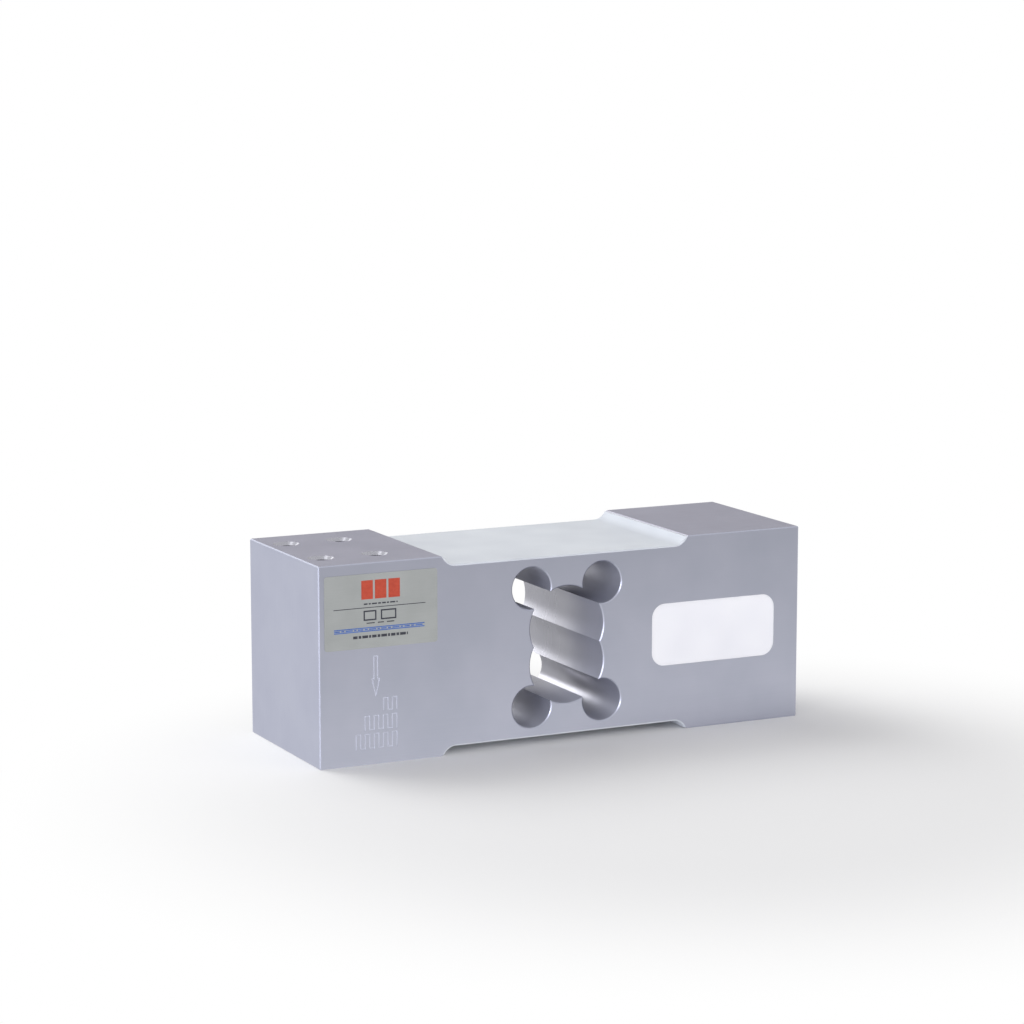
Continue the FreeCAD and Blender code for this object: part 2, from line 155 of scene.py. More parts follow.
def linear(hex_colour):
    """An sRGB hex colour as linear red, green, blue and alpha."""
    channels = [int(hex_colour[k : k + 2], 16) / 255 for k in (1, 3, 5)]
    return [c / 12.92 if c <= 0.04045 else ((c + 0.055) / 1.055) ** 2.4 for c in channels] + [1.0]


def add(tree, kind, inputs=None, **settings):
    """Adds a node with its settings. An input is a value, or another node's output to link."""
    made = tree.nodes.new(kind)
    for name, value in settings.items():
        setattr(made, name, value)
    for name, value in (inputs or {}).items():
        socket = made.inputs[name]
        if isinstance(value, bpy.types.NodeSocket):
            tree.links.new(value, socket)
        else:
            socket.default_value = value
    return made


def mesh_object(name, points, faces, edges=()):
    """A mesh object with its faces turned outwards."""
    mesh = bpy.data.meshes.new(name)
    mesh.from_pydata([tuple(p) for p in points], list(edges), faces)
    if faces:
        build = bmesh.new()
        build.from_mesh(mesh)
        bmesh.ops.recalc_face_normals(build, faces=build.faces)
        build.to_mesh(mesh)
        build.free()
    made = bpy.data.objects.new(name, mesh)
    bpy.context.scene.collection.objects.link(made)
    return made


def plain_mesh(source, name):
    """The evaluated object as a plain mesh of its own. The source goes."""
    graph = bpy.context.evaluated_depsgraph_get()
    evaluated = source.evaluated_get(graph)
    mesh = bpy.data.meshes.new_from_object(evaluated, preserve_all_data_layers=True, depsgraph=graph)
    mesh.name = name
    bpy.data.objects.remove(source)
    made = bpy.data.objects.new(name, mesh)
    bpy.context.scene.collection.objects.link(made)
    return made


def smooth_by_angle(piece, degrees):
    """Smooth shading that keeps the edges sharper than the angle, and flat faces flat."""
    piece.data.shade_smooth()
    piece.data.set_sharp_from_angle(angle=math.radians(degrees))
    flatten = piece.modifiers.new("flat faces lead", "WEIGHTED_NORMAL")
    flatten.keep_sharp = True
    return plain_mesh(piece, piece.name)


def finish_piece(piece, material_slot, *nodes):
    """Makes a piece ride on the one body, in the place of its CAD nodes."""
    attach(piece, "root")
    if nodes:
        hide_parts(*nodes)


# Materials


def new_material(name):
    """A new material with its node tree and its Principled shader."""
    material = bpy.data.materials.new(name)
    material.use_nodes = True
    return material, material.node_tree, material.node_tree.nodes["Principled BSDF"]


def object_noise(tree, size, detail=2.0, stretch=(1, 1, 1)):
    """Noise on Object coordinates. A patch is about size long, times stretch along each axis."""
    place = add(tree, "ShaderNodeTexCoord").outputs["Object"]
    scale = [1 / (size * s) for s in stretch]
    laid = add(tree, "ShaderNodeMapping", {"Vector": place, "Scale": scale}).outputs["Vector"]
    inputs = {"Vector": laid, "Scale": 1.0, "Detail": detail, "Roughness": 0.55}
    return add(tree, "ShaderNodeTexNoise", inputs).outputs["Fac"]


def between(tree, factor, low, high):
    """Maps a noise's middle range to low and high."""
    inputs = {"Value": factor, "From Min": 0.3, "From Max": 0.7, "To Min": low, "To Max": high}
    return add(tree, "ShaderNodeMapRange", inputs).outputs["Result"]


def two_tones(tree, factor, low_hex, high_hex):
    """A colour between two, by a noise. A mix of colours has them in 6 and 7, and its result in 2."""
    share = between(tree, factor, 0.0, 1.0)
    inputs = {0: share, 6: linear(low_hex), 7: linear(high_hex)}
    return add(tree, "ShaderNodeMix", inputs, data_type="RGBA").outputs[2]


def add_bump(tree, shader, height, depth, strength=1.0):
    """Bump of a depth in metres from a height of 0 to 1."""
    inputs = {"Height": height, "Distance": depth, "Strength": strength}
    tree.links.new(add(tree, "ShaderNodeBump", inputs).outputs["Normal"], shader.inputs["Normal"])


def milled_aluminium(name, stretch, tones):
    """Milled and clear anodised aluminium: a satin sheen with faint streaks along the tool's way."""
    material, tree, shader = new_material(name)
    # The clear oxide takes some of the glare off at low angles.
    shader.inputs["Specular Tint"].default_value = linear("#bcbcc0")
    # Real lay has a pitch near 0.15 mm. It is drawn at about 0.4 mm, so that a picture shows it.
    lay = object_noise(tree, 0.4 * MM, 2.0, stretch)
    cloud = object_noise(tree, 14 * MM, 2.0)
    shader.inputs["Metallic"].default_value = 1.0
    tree.links.new(two_tones(tree, cloud, *tones), shader.inputs["Base Color"])
    tree.links.new(between(tree, lay, 0.36, 0.44), shader.inputs["Roughness"])
    add_bump(tree, shader, lay, 0.004 * MM, 0.5)
    return material


def bored_aluminium():
    """Bored and reamed aluminium: a soft even sheen with the faintest rings, duller at the front mouth.

    That the walls grow rougher towards the front is a guess. Their tone is painted:
    darker deep in the bar as painted shade, and lighter and bluer at the front mouth as painted light.
    Both make the bright strips on them fade there, as they do in the photograph.
    """
    material, tree, shader = new_material("bored_aluminium")
    rings = object_noise(tree, 0.5 * MM, 1.0, (60, 1, 60))
    cloud = object_noise(tree, 9 * MM, 2.0)
    shader.inputs["Metallic"].default_value = 0.78
    # The walls turn dull from the bar's middle to 4 mm from its front.
    # Their tone goes from painted shade deep inside to painted light, lighter and bluer, at the front.
    place = add(tree, "ShaderNodeTexCoord").outputs["Object"]
    depth = add(tree, "ShaderNodeSeparateXYZ", {"Vector": place}).outputs["Y"]
    painted_light_and_dulling_span = {"Value": depth, "From Min": 2 * MM, "From Max": -21 * MM}
    mouth = add(tree, "ShaderNodeMapRange", painted_light_and_dulling_span, interpolation_type="SMOOTHSTEP").outputs["Result"]
    tones = {0: mouth, 6: two_tones(tree, cloud, "#9b9ba3", "#a2a2aa"), 7: linear("#b9bbc8")}
    tone = add(tree, "ShaderNodeMix", tones, data_type="RGBA").outputs[2]
    tree.links.new(tone, shader.inputs["Base Color"])
    duller = {0: mouth, 1: 0.3, 2: between(tree, rings, 0.27, 0.31)}
    roughness = add(tree, "ShaderNodeMath", duller, operation="MULTIPLY_ADD").outputs[0]
    tree.links.new(roughness, shader.inputs["Roughness"])
    add_bump(tree, shader, rings, 0.0005 * MM, 0.3)
    return material


def broken_edge_aluminium():
    """Edges broken with a file: a plain satin that draws a thin even line of light."""
    material, tree, shader = new_material("broken_edge_aluminium")
    grain = object_noise(tree, 0.6 * MM, 2.0)
    shader.inputs["Metallic"].default_value = 1.0
    tree.links.new(two_tones(tree, grain, "#b4b7c6", "#babdcb"), shader.inputs["Base Color"])
    tree.links.new(between(tree, grain, 0.48, 0.54), shader.inputs["Roughness"])
    return material


def tapped_aluminium_painted_shade():
    """Tapped aluminium: painted shade, darker than the faces, with a glint on the crests of the threads.
    """
    material, tree, shader = new_material("tapped_aluminium_painted_shade")
    grain = object_noise(tree, 0.3 * MM, 2.0)
    shader.inputs["Metallic"].default_value = 1.0
    tree.links.new(two_tones(tree, grain, "#a2a2aa", "#b0b0b8"), shader.inputs["Base Color"])
    tree.links.new(between(tree, grain, 0.22, 0.32), shader.inputs["Roughness"])
    add_bump(tree, shader, grain, 0.003 * MM, 0.4)
    return material


def engraved_aluminium():
    """The fresh metal in an engraved groove: bright and frosted."""
    material, tree, shader = new_material("engraved_aluminium")
    grain = object_noise(tree, 0.3 * MM, 3.0)
    shader.inputs["Metallic"].default_value = 0.7
    tree.links.new(two_tones(tree, grain, "#c9ccd8", "#d8dae4"), shader.inputs["Base Color"])
    tree.links.new(between(tree, grain, 0.55, 0.7), shader.inputs["Roughness"])
    add_bump(tree, shader, grain, 0.01 * MM, 0.5)
    return material


def cast_silicone(name, tones, roughness, wave):
    """Cast white silicone: a soft waxy gloss on a surface that levelled by itself."""
    material, tree, shader = new_material(name)
    swell = object_noise(tree, 16 * MM, 1.0)
    dust = object_noise(tree, 0.5 * MM, 3.0)
    tree.links.new(two_tones(tree, swell, *tones), shader.inputs["Base Color"])
    tree.links.new(between(tree, dust, roughness - 0.04, roughness + 0.04), shader.inputs["Roughness"])
    shader.inputs["IOR"].default_value = 1.41
    shader.inputs["Subsurface Weight"].default_value = 0.15
    shader.inputs["Subsurface Radius"].default_value = (0.001, 0.001, 0.001)
    shader.inputs["Subsurface Scale"].default_value = 1.0
    add_bump(tree, shader, swell, wave, 0.6)
    return material


def plate_foil():
    """Printed silver foil: a matt greenish grey with a fine grain along its length."""
    material, tree, shader = new_material("plate_foil")
    grain = object_noise(tree, 0.35 * MM, 2.0, (14, 1, 1))
    cloud = object_noise(tree, 11 * MM, 2.0)
    shader.inputs["Metallic"].default_value = 0.7
    tree.links.new(two_tones(tree, cloud, "#abaead", "#b4b7b6"), shader.inputs["Base Color"])
    tree.links.new(between(tree, grain, 0.46, 0.56), shader.inputs["Roughness"])
    add_bump(tree, shader, grain, 0.004 * MM, 0.4)
    return material


def screen_ink(name, tones):
    """Screen printed ink: flat and matt, thinner in places so that the tone is uneven."""
    material, tree, shader = new_material(name)
    patch = object_noise(tree, 0.8 * MM, 3.0)
    tree.links.new(two_tones(tree, patch, *tones), shader.inputs["Base Color"])
    tree.links.new(between(tree, patch, 0.5, 0.6), shader.inputs["Roughness"])
    add_bump(tree, shader, patch, 0.004 * MM, 0.4)
    return material


def inner_material(name, tones, metallic, roughness, grain_size, grain_depth):
    """A finish for what is sealed inside: its two tones, its gloss and a fine grain of its own size."""
    material, tree, shader = new_material(name)
    grain = object_noise(tree, grain_size, 3.0)
    shader.inputs["Metallic"].default_value = metallic
    tree.links.new(two_tones(tree, grain, *tones), shader.inputs["Base Color"])
    tree.links.new(between(tree, grain, roughness - 0.05, roughness + 0.05), shader.inputs["Roughness"])
    add_bump(tree, shader, grain, grain_depth, 0.5)
    return material


# Geometry Nodes trees


def new_tree(name, inputs):
    """A Geometry Nodes tree with a geometry input and the named ones. Returns it with its input node."""
    tree = bpy.data.node_groups.new(name, "GeometryNodeTree")
    tree.interface.new_socket("Geometry", in_out="INPUT", socket_type="NodeSocketGeometry")
    for label, kind in inputs.items():
        tree.interface.new_socket(label, in_out="INPUT", socket_type="NodeSocket" + kind)
    tree.interface.new_socket("Geometry", in_out="OUTPUT", socket_type="NodeSocketGeometry")
    return tree, tree.nodes.new("NodeGroupInput").outputs


def end_tree(tree, geometry, material):
    """Realizes instances, sets the material and ends the tree."""
    real = add(tree, "GeometryNodeRealizeInstances", {"Geometry": geometry}).outputs["Geometry"]
    painted = add(tree, "GeometryNodeSetMaterial", {"Geometry": real, "Material": material})
    add(tree, "NodeGroupOutput", {"Geometry": painted.outputs["Geometry"]})
    return tree


def tapped_thread_tree():
    """A helical groove at each point, which starts below the point and goes down its hole."""
    sizes = {
        "Pitch": "Float",
        "Turns": "Float",
        "Hole Radius": "Float",
        "Groove Depth": "Float",
        "Start Depth": "Float",
        "Steps Per Turn": "Int",
        "Material": "Material",
    }
    tree, given = new_tree("tapped_thread", sizes)
    height = add(tree, "ShaderNodeMath", {0: given["Pitch"], 1: given["Turns"]}, operation="MULTIPLY")
    spiral = {
        "Resolution": given["Steps Per Turn"],
        "Rotations": given["Turns"],
        "Start Radius": given["Hole Radius"],
        "End Radius": given["Hole Radius"],
        "Height": height.outputs[0],
    }
    helix = add(tree, "GeometryNodeCurveSpiral", spiral).outputs["Curve"]
    upright = add(tree, "GeometryNodeSetCurveNormal", {"Curve": helix}, mode="Z_UP").outputs["Curve"]
    corners = {"Resolution": 4, "Radius": given["Groove Depth"]}
    diamond = add(tree, "GeometryNodeCurvePrimitiveCircle", corners).outputs["Curve"]
    flat = {"Geometry": diamond, "Scale": (1.0, THREAD_FLATNESS, 1.0)}
    section = add(tree, "GeometryNodeTransform", flat).outputs["Geometry"]
    sweep = {"Curve": upright, "Profile Curve": section, "Fill Caps": True}
    groove = add(tree, "GeometryNodeCurveToMesh", sweep).outputs["Mesh"]
    sunk = {0: height.outputs[0], 1: given["Start Depth"]}
    depth = add(tree, "ShaderNodeMath", sunk, operation="ADD").outputs[0]
    down = add(tree, "ShaderNodeMath", {0: depth, 1: -1.0}, operation="MULTIPLY").outputs[0]
    drop = add(tree, "ShaderNodeCombineXYZ", {"Z": down}).outputs["Vector"]
    lowered = add(tree, "GeometryNodeTransform", {"Geometry": groove, "Translation": drop})
    outward = add(tree, "GeometryNodeInputNamedAttribute", {"Name": "outward"}, data_type="FLOAT_VECTOR")
    aim = {"Vector": outward.outputs["Attribute"]}
    turn = add(tree, "FunctionNodeAlignRotationToVector", aim, axis="Z").outputs["Rotation"]
    spots = add(tree, "GeometryNodeMeshToPoints", {"Mesh": given["Geometry"]}).outputs["Points"]
    placing = {"Points": spots, "Instance": lowered.outputs["Geometry"], "Rotation": turn}
    placed = add(tree, "GeometryNodeInstanceOnPoints", placing).outputs["Instances"]
    return end_tree(tree, placed, given["Material"])


def engraved_stroke_tree():
    """A round-nosed groove along each straight line, with a ball at its ends, all joined."""
    sizes = {"Cutter Radius": "Float", "Sides": "Int", "Ball Detail": "Int", "Material": "Material"}
    tree, given = new_tree("engraved_stroke", sizes)
    line = add(tree, "GeometryNodeMeshToCurve", {"Mesh": given["Geometry"]}).outputs["Curve"]
    nose = {"Resolution": given["Sides"], "Radius": given["Cutter Radius"]}
    section = add(tree, "GeometryNodeCurvePrimitiveCircle", nose).outputs["Curve"]
    sweep = {"Curve": line, "Profile Curve": section, "Fill Caps": True}
    grooves = add(tree, "GeometryNodeCurveToMesh", sweep).outputs["Mesh"]
    corners = {"Geometry": given["Geometry"], "Distance": 0.01 * MM}
    single = add(tree, "GeometryNodeMergeByDistance", corners).outputs["Geometry"]
    spots = add(tree, "GeometryNodeMeshToPoints", {"Mesh": single}).outputs["Points"]
    round_end = {"Radius": given["Cutter Radius"], "Subdivisions": given["Ball Detail"]}
    ball = add(tree, "GeometryNodeMeshIcoSphere", round_end).outputs["Mesh"]
    placing = {"Points": spots, "Instance": ball}
    placed = add(tree, "GeometryNodeInstanceOnPoints", placing).outputs["Instances"]
    balls = add(tree, "GeometryNodeRealizeInstances", {"Geometry": placed}).outputs["Geometry"]
    # The union clears the places where the grooves and the balls run through each other.
    both = add(tree, "GeometryNodeJoinGeometry", {"Geometry": grooves})
    tree.links.new(balls, both.inputs["Geometry"])
    parts = {"Mesh 2": both.outputs["Geometry"], "Self Intersection": True}
    union = add(tree, "GeometryNodeMeshBoolean", parts, operation="UNION", solver="EXACT")
    return end_tree(tree, union.outputs["Mesh"], given["Material"])


def grown(seed, tree, values, name):
    """The plain mesh that a tree makes from a seed of points or lines."""
    modifier = seed.modifiers.new("grow", "NODES")
    modifier.node_group = tree
    for item in tree.interface.items_tree:
        if item.name in values:
            modifier[item.identifier] = values[item.name]
    return plain_mesh(seed, name)


# The bar


def tap_mouths():
    """The middle of each tapped hole's mouth, and the way that it opens, from the record's patterns."""
    mouths = []
    for mount in frame["record"]["mounts"]:
        if mount["kind"] != "bolt_pattern":
            continue
        x, y, _ = mount["pos_m"]
        up = mount["axis"][2]
        z = BAR_HIGH.z if up > 0 else BAR_LOW.z
        half_x = mount["dims"]["spacing_x_mm"] / 2 * MM
        half_y = mount["dims"]["spacing_y_mm"] / 2 * MM
        for side_x in (-1, 1):
            for side_y in (-1, 1):
                mouths.append(((x + side_x * half_x, y + side_y * half_y, z), (0, 0, up)))
    return mouths


def thread_cutter(material):
    """The threads' grooves for all tapped holes, as one piece to cut with."""
    mouths = tap_mouths()
    seed = mesh_object("tap_mouths", [place for place, _ in mouths], [])
    outward = seed.data.attributes.new("outward", "FLOAT_VECTOR", "POINT")
    for item, (_, way) in zip(outward.data, mouths):
        item.vector = way
    values = {
        "Pitch": THREAD_PITCH,
        "Turns": THREAD_TURNS,
        "Hole Radius": TAP_DRILL_RADIUS,
        "Groove Depth": THREAD_DEPTH,
        "Start Depth": THREAD_START,
        "Steps Per Turn": THREAD_STEPS_PER_TURN,
        "Material": material,
    }
    return grown(seed, tapped_thread_tree(), values, "thread_cutter")


def load_arrow():
    """The outline of an arrow that points down, the sign for the direction of the load."""
    shaft, head = ARROW_SHAFT / 2, ARROW_HEAD / 2
    return [
        (ARROW_X - shaft, ARROW_NECK),
        (ARROW_X - shaft, ARROW_TOP),
        (ARROW_X + shaft, ARROW_TOP),
        (ARROW_X + shaft, ARROW_NECK),
        (ARROW_X + head, ARROW_NECK),
        (ARROW_X, ARROW_TIP),
        (ARROW_X - head, ARROW_NECK),
    ]


def square_wave(right, bottom, top, step, count):
    """A plain square wave of upright bars, from its right end to the left."""
    points = []
    for turn in range(count):
        x = right - turn * step
        points += [(x, bottom), (x, top)] if turn % 2 == 0 else [(x, top), (x, bottom)]
    return points


def engraving_cutter(material):
    """Grooves for the load arrow and for the rows of square waves below it."""
    arrow = load_arrow()
    lines = [arrow + arrow[:1]]
    for bottom, top, step, count in WAVES:
        lines.append(square_wave(WAVES_RIGHT, bottom * MM, top * MM, step * MM, count))
    # Each straight line has its own two points, so that it is swept by itself.
    points = []
    for line in lines:
        for ends in zip(line, line[1:]):
            points += [(BAR_LOW.x + x, FRONT_Y, z) for x, z in ends]
    edges = [(k, k + 1) for k in range(0, len(points), 2)]
    seed = mesh_object("engraved_lines", points, [], edges)
    values = {
        "Cutter Radius": STROKE_RADIUS,
        "Sides": STROKE_SIDES,
        "Ball Detail": STROKE_BALL_DETAIL,
        "Material": material,
    }
    return grown(seed, engraved_stroke_tree(), values, "engraving_cutter")


def bar_region(centre, normal):
    """The finish of a face, from its place on the bar and the way that it faces."""
    reach = [abs(abs(centre[k] - MIDDLE[k]) - HALF[k]) < EDGE_REACH for k in range(3)]
    slants = [abs(part) < 0.9 for part in normal]
    faces = [abs(part) > 0.3 for part in normal]
    if sum(reach) >= 2 and all(slants):
        return EDGES
    if reach[1] and faces[1]:
        return SIDES
    if reach[0] and faces[0]:
        return ENDS
    on_level = abs(abs(centre.z - MIDDLE.z) - HALF.z) < TROUGH_REACH
    if on_level and faces[2]:
        return TAPPED if slants[2] and HALF.x - abs(centre.x) < HOLES_REACH else PADS
    return BORES


def machined_bar():
    """The bar, cut from a merged copy of its CAD mesh, with threads and engraving."""
    build = bmesh.new()
    build.from_mesh(frame["nodes"]["beam_body"].data)
    bmesh.ops.remove_doubles(build, verts=build.verts, dist=0.001 * MM)
    points = [v.co.copy() for v in build.verts]
    faces = [[v.index for v in f.verts] for f in build.faces]
    build.free()
    bar = mesh_object("machined_bar", points, faces)
    # The ends' lighter tone and the pads' lighter, less blue tone are painted light on the one anodised
    # block.
    finishes = [
        milled_aluminium("milled_aluminium_sides", (60, 60, 1), ("#b5b8c6", "#bbbdcb")),
        milled_aluminium("milled_aluminium_ends_painted_light", (60, 1, 60), ("#c6c9d9", "#cbcedd")),
        milled_aluminium("milled_aluminium_pads_painted_light", (60, 1, 60), ("#c0bfcb", "#c6c5d1")),
        bored_aluminium(),
        broken_edge_aluminium(),
        tapped_aluminium_painted_shade(),
        engraved_aluminium(),
    ]
    for finish in finishes:
        bar.data.materials.append(finish)
    cutters = [thread_cutter(finishes[TAPPED]), engraving_cutter(finishes[ENGRAVED])]
    for cutter in cutters:
        cut = bar.modifiers.new("cut " + cutter.name, "BOOLEAN")
        cut.operation = "DIFFERENCE"
        cut.solver = "EXACT"
        cut.material_mode = "TRANSFER"
        cut.object = cutter
    bar = plain_mesh(bar, "machined_bar")
    for cutter in cutters:
        bpy.data.objects.remove(cutter)
    names = [m.name for m in bar.data.materials]
    cut_faces = [names.index(finish.name) for finish in finishes[TAPPED:]]
    for face in bar.data.polygons:
        if face.material_index not in cut_faces:
            region = bar_region(face.center, face.normal)
            face.material_index = names.index(finishes[region].name)
    bar = smooth_by_angle(bar, 25)
    finish_piece(bar, "machined_aluminium", "beam_body")
    return bar


# Silicone


def coat_stations(half_length, floor_z, top_z):
    """Points along the upper trough's section, each with the way in which the coat grows."""
    centre_z = floor_z + TROUGH_END_RADIUS
    top_angle = math.acos((centre_z - top_z) / TROUGH_END_RADIUS)
    centre_x = half_length - TROUGH_END_RADIUS * math.sin(top_angle)
    stations = []
    arc_steps = 16
    for step in range(arc_steps):
        angle = top_angle * (1 - step / arc_steps)
        across, up = math.sin(angle), math.cos(angle)
        spot = (-centre_x - TROUGH_END_RADIUS * across, centre_z - TROUGH_END_RADIUS * up)
        stations.append((spot, (across, up)))
    floor_steps = 70
    left = list(stations)
    for step in range(floor_steps + 1):
        x = centre_x * (2 * step / floor_steps - 1)
        stations.append(((x, floor_z), (0.0, 1.0)))
    for (x, z), (across, up) in reversed(left):
        stations.append(((-x, z), (-across, up)))
    return stations


def edge_share(distance, width, low):
    """The share of the full thickness at a distance from an edge that is rounded over a width."""
    if distance >= width:
        return 1.0
    return low + (1 - low) * math.sqrt(1 - (1 - distance / width) ** 2)


def coat_rows(half_width):
    """Distances across the bar, close together where the coat rounds off."""
    near = [0.0, 0.03, 0.08, 0.15, 0.25, 0.4]
    rows = [-half_width + n * MM for n in near]
    inner = half_width - near[-1] * MM
    steps = 36
    rows += [inner * (2 * step / steps - 1) for step in range(1, steps)]
    rows += [half_width - n * MM for n in reversed(near)]
    return rows


def gauge_coat(level, material):
    """The coat as poured: round edges at the front and back, thin lips at the pads, faint swells."""
    node = "gauge_coat_" + level
    low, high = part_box(node)
    upper_low = low.z if level == "upper" else 2 * MIDDLE.z - high.z
    upper_high = high.z if level == "upper" else 2 * MIDDLE.z - low.z
    stations = coat_stations(high.x, upper_low, upper_high)
    rows = coat_rows(high.y)
    run, walked = [0.0], 0.0
    for (a, _), (b, _) in zip(stations, stations[1:]):
        walked += math.dist(a, b)
        run.append(walked)
    points, faces = [], []
    ring = len(rows) + 2
    for distance, ((x, z), (across, up)) in zip(run, stations):
        end = edge_share(min(distance, walked - distance), COAT_EDGE, COAT_LIP_SHARE)
        points.append((x, rows[0], z))
        for y in rows:
            side = edge_share(high.y - abs(y), COAT_EDGE, COAT_RIM_SHARE)
            swell = COAT_WAVE * noise.noise(Vector((x / COAT_WAVE_LENGTH, y / COAT_WAVE_WIDTH, z)))
            grow = (COAT_THICKNESS + swell * side * end) * side * end
            points.append((x + across * grow, y, z + up * grow))
        points.append((x, rows[-1], z))
    for k in range(len(stations) - 1):
        for j in range(ring):
            a, b = k * ring + j, k * ring + (j + 1) % ring
            faces.append((a, b, b + ring, a + ring))
    last = (len(stations) - 1) * ring
    faces.append(tuple(range(ring)))
    faces.append(tuple(last + j for j in range(ring)))
    if level == "lower":
        points = [(x, y, 2 * MIDDLE.z - z) for x, y, z in points]
    coat = mesh_object("silicone_coat_" + level, points, faces)
    coat.data.materials.append(material)
    coat = smooth_by_angle(coat, 40)
    finish_piece(coat, "gauge_coat_silicone", node)


def rounded_ring(low, high, corner, inset, y):
    """A rounded rectangle in a plane of constant y, moved inwards by inset."""
    radius = max(corner - inset, 0.05 * MM)
    points = []
    steps = 10
    for side_x, side_z, start in ((1, 1, 0), (-1, 1, 90), (-1, -1, 180), (1, -1, 270)):
        centre_x = (high.x - inset - radius) if side_x > 0 else (low.x + inset + radius)
        centre_z = (high.z - inset - radius) if side_z > 0 else (low.z + inset + radius)
        for step in range(steps + 1):
            angle = math.radians(start + 90 * step / steps)
            points.append((centre_x + radius * math.cos(angle), y, centre_z + radius * math.sin(angle)))
    return points


def pocket_potting(material):
    """The silicone that fills the pocket, level at its rim and a little sunk inside it."""
    low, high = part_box("pocket_potting")
    rings = [rounded_ring(low, high, POCKET_CORNER, 0.0, high.y)]
    rings.append(rounded_ring(low, high, POCKET_CORNER, 0.0, low.y + POTTING_RIM_HEIGHT * MM))
    for inset in POTTING_INSETS:
        inside = max(inset - POTTING_RIM_WIDTH, 0) * MM
        crown = POTTING_RIM_HEIGHT * max(1 - inset / POTTING_RIM_WIDTH, 0) ** 2
        sink = MENISCUS_DEPTH * (1 - math.exp(-inside / MENISCUS_WIDTH))
        rings.append(rounded_ring(low, high, POCKET_CORNER, inset * MM, low.y + crown * MM + sink))
    points = [point for ring in rings for point in ring]
    count = len(rings[0])
    faces = []
    for k in range(len(rings) - 1):
        for j in range(count):
            a, b = k * count + j, k * count + (j + 1) % count
            faces.append((a, b, b + count, a + count))
    faces.append(tuple(range(count)))
    faces.append(tuple((len(rings) - 1) * count + j for j in range(count)))
    potting = mesh_object("silicone_potting", points, faces)
    potting.data.materials.append(material)
    potting = smooth_by_angle(potting, 40)
    finish_piece(potting, "potting_silicone", "pocket_potting")


# Plate


def plate_print(name, marks, material):
    """Flat marks on the plate. Each has its middle from the plate's left and top edge, and its size.

    They are in millimetres, as are all measures of the print.
    """
    low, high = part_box("nameplate")
    points, faces = [], []
    for from_left, from_top, width, height in marks:
        x = low.x + from_left * MM
        z = high.z - from_top * MM
        first = len(points)
        for y in (low.y - INK_THICKNESS, low.y):
            for side_x, side_z in ((-1, -1), (1, -1), (1, 1), (-1, 1)):
                points.append((x + side_x * width * MM / 2, y, z + side_z * height * MM / 2))
        for quad in ((0, 1, 2, 3), (4, 7, 6, 5), (0, 4, 5, 1), (1, 5, 6, 2), (2, 6, 7, 3), (3, 7, 4, 0)):
            faces.append(tuple(first + k for k in quad))
    made = mesh_object(name, points, faces)
    made.data.materials.append(material)
    finish_piece(made, "plate_foil")


def mark_row(start, end, from_top, height, lengths, gap):
    """A row of short bars between start and end, with their lengths taken in turn."""
    marks, x, turn = [], start, 0
    while x < end:
        length = min(lengths[turn % len(lengths)], end - x)
        marks.append((x + length / 2, from_top, length, height))
        x += length + gap
        turn += 1
    return marks


def box_outline(middle, from_top, width, height, line):
    """Four bars that draw a hollow box."""
    side, level = (width - line) / 2, (height - line) / 2
    return [
        (middle, from_top - level, width, line),
        (middle, from_top + level, width, line),
        (middle - side, from_top, line, height - 2 * line),
        (middle + side, from_top, line, height - 2 * line),
    ]


def print_on_plate():
    """A plain layout of blocks, rules and bars, which says nothing."""
    blocks = [(16.6 + k * 4.0, 4.4, 3.4, 5.2) for k in (-1, 0, 1)]
    plate_print("plate_blocks", blocks, screen_ink("red_ink", ("#ae3d28", "#bc4a33")))
    dark = mark_row(11.6, 21.6, 8.3, 0.4, (1.1, 0.6, 1.5, 0.8), 0.35)
    dark.append((16.3, 9.3, 27.2, 0.2))
    dark += box_outline(13.4, 11.5, 3.8, 2.8, 0.4)
    dark += box_outline(18.9, 11.5, 4.6, 2.8, 0.4)
    dark += mark_row(12.4, 20.6, 13.6, 0.28, (2.4, 1.8), 0.9)
    dark += mark_row(8.4, 24.6, 17.3, 0.75, (1.3, 0.8, 1.7, 0.6), 0.3)
    plate_print("plate_bars", dark, screen_ink("dark_ink", ("#2b2c35", "#3d3f49")))
    blue = [(16.2, 14.85, 26.8, 0.3), (16.2, 15.75, 26.8, 0.3)]
    blue += mark_row(2.9, 29.4, 15.3, 0.35, (1.6, 0.9, 2.1, 0.7), 0.4)
    plate_print("plate_bands", blue, screen_ink("blue_ink", ("#3f5fa0", "#5575b4")))


# Cable inlet


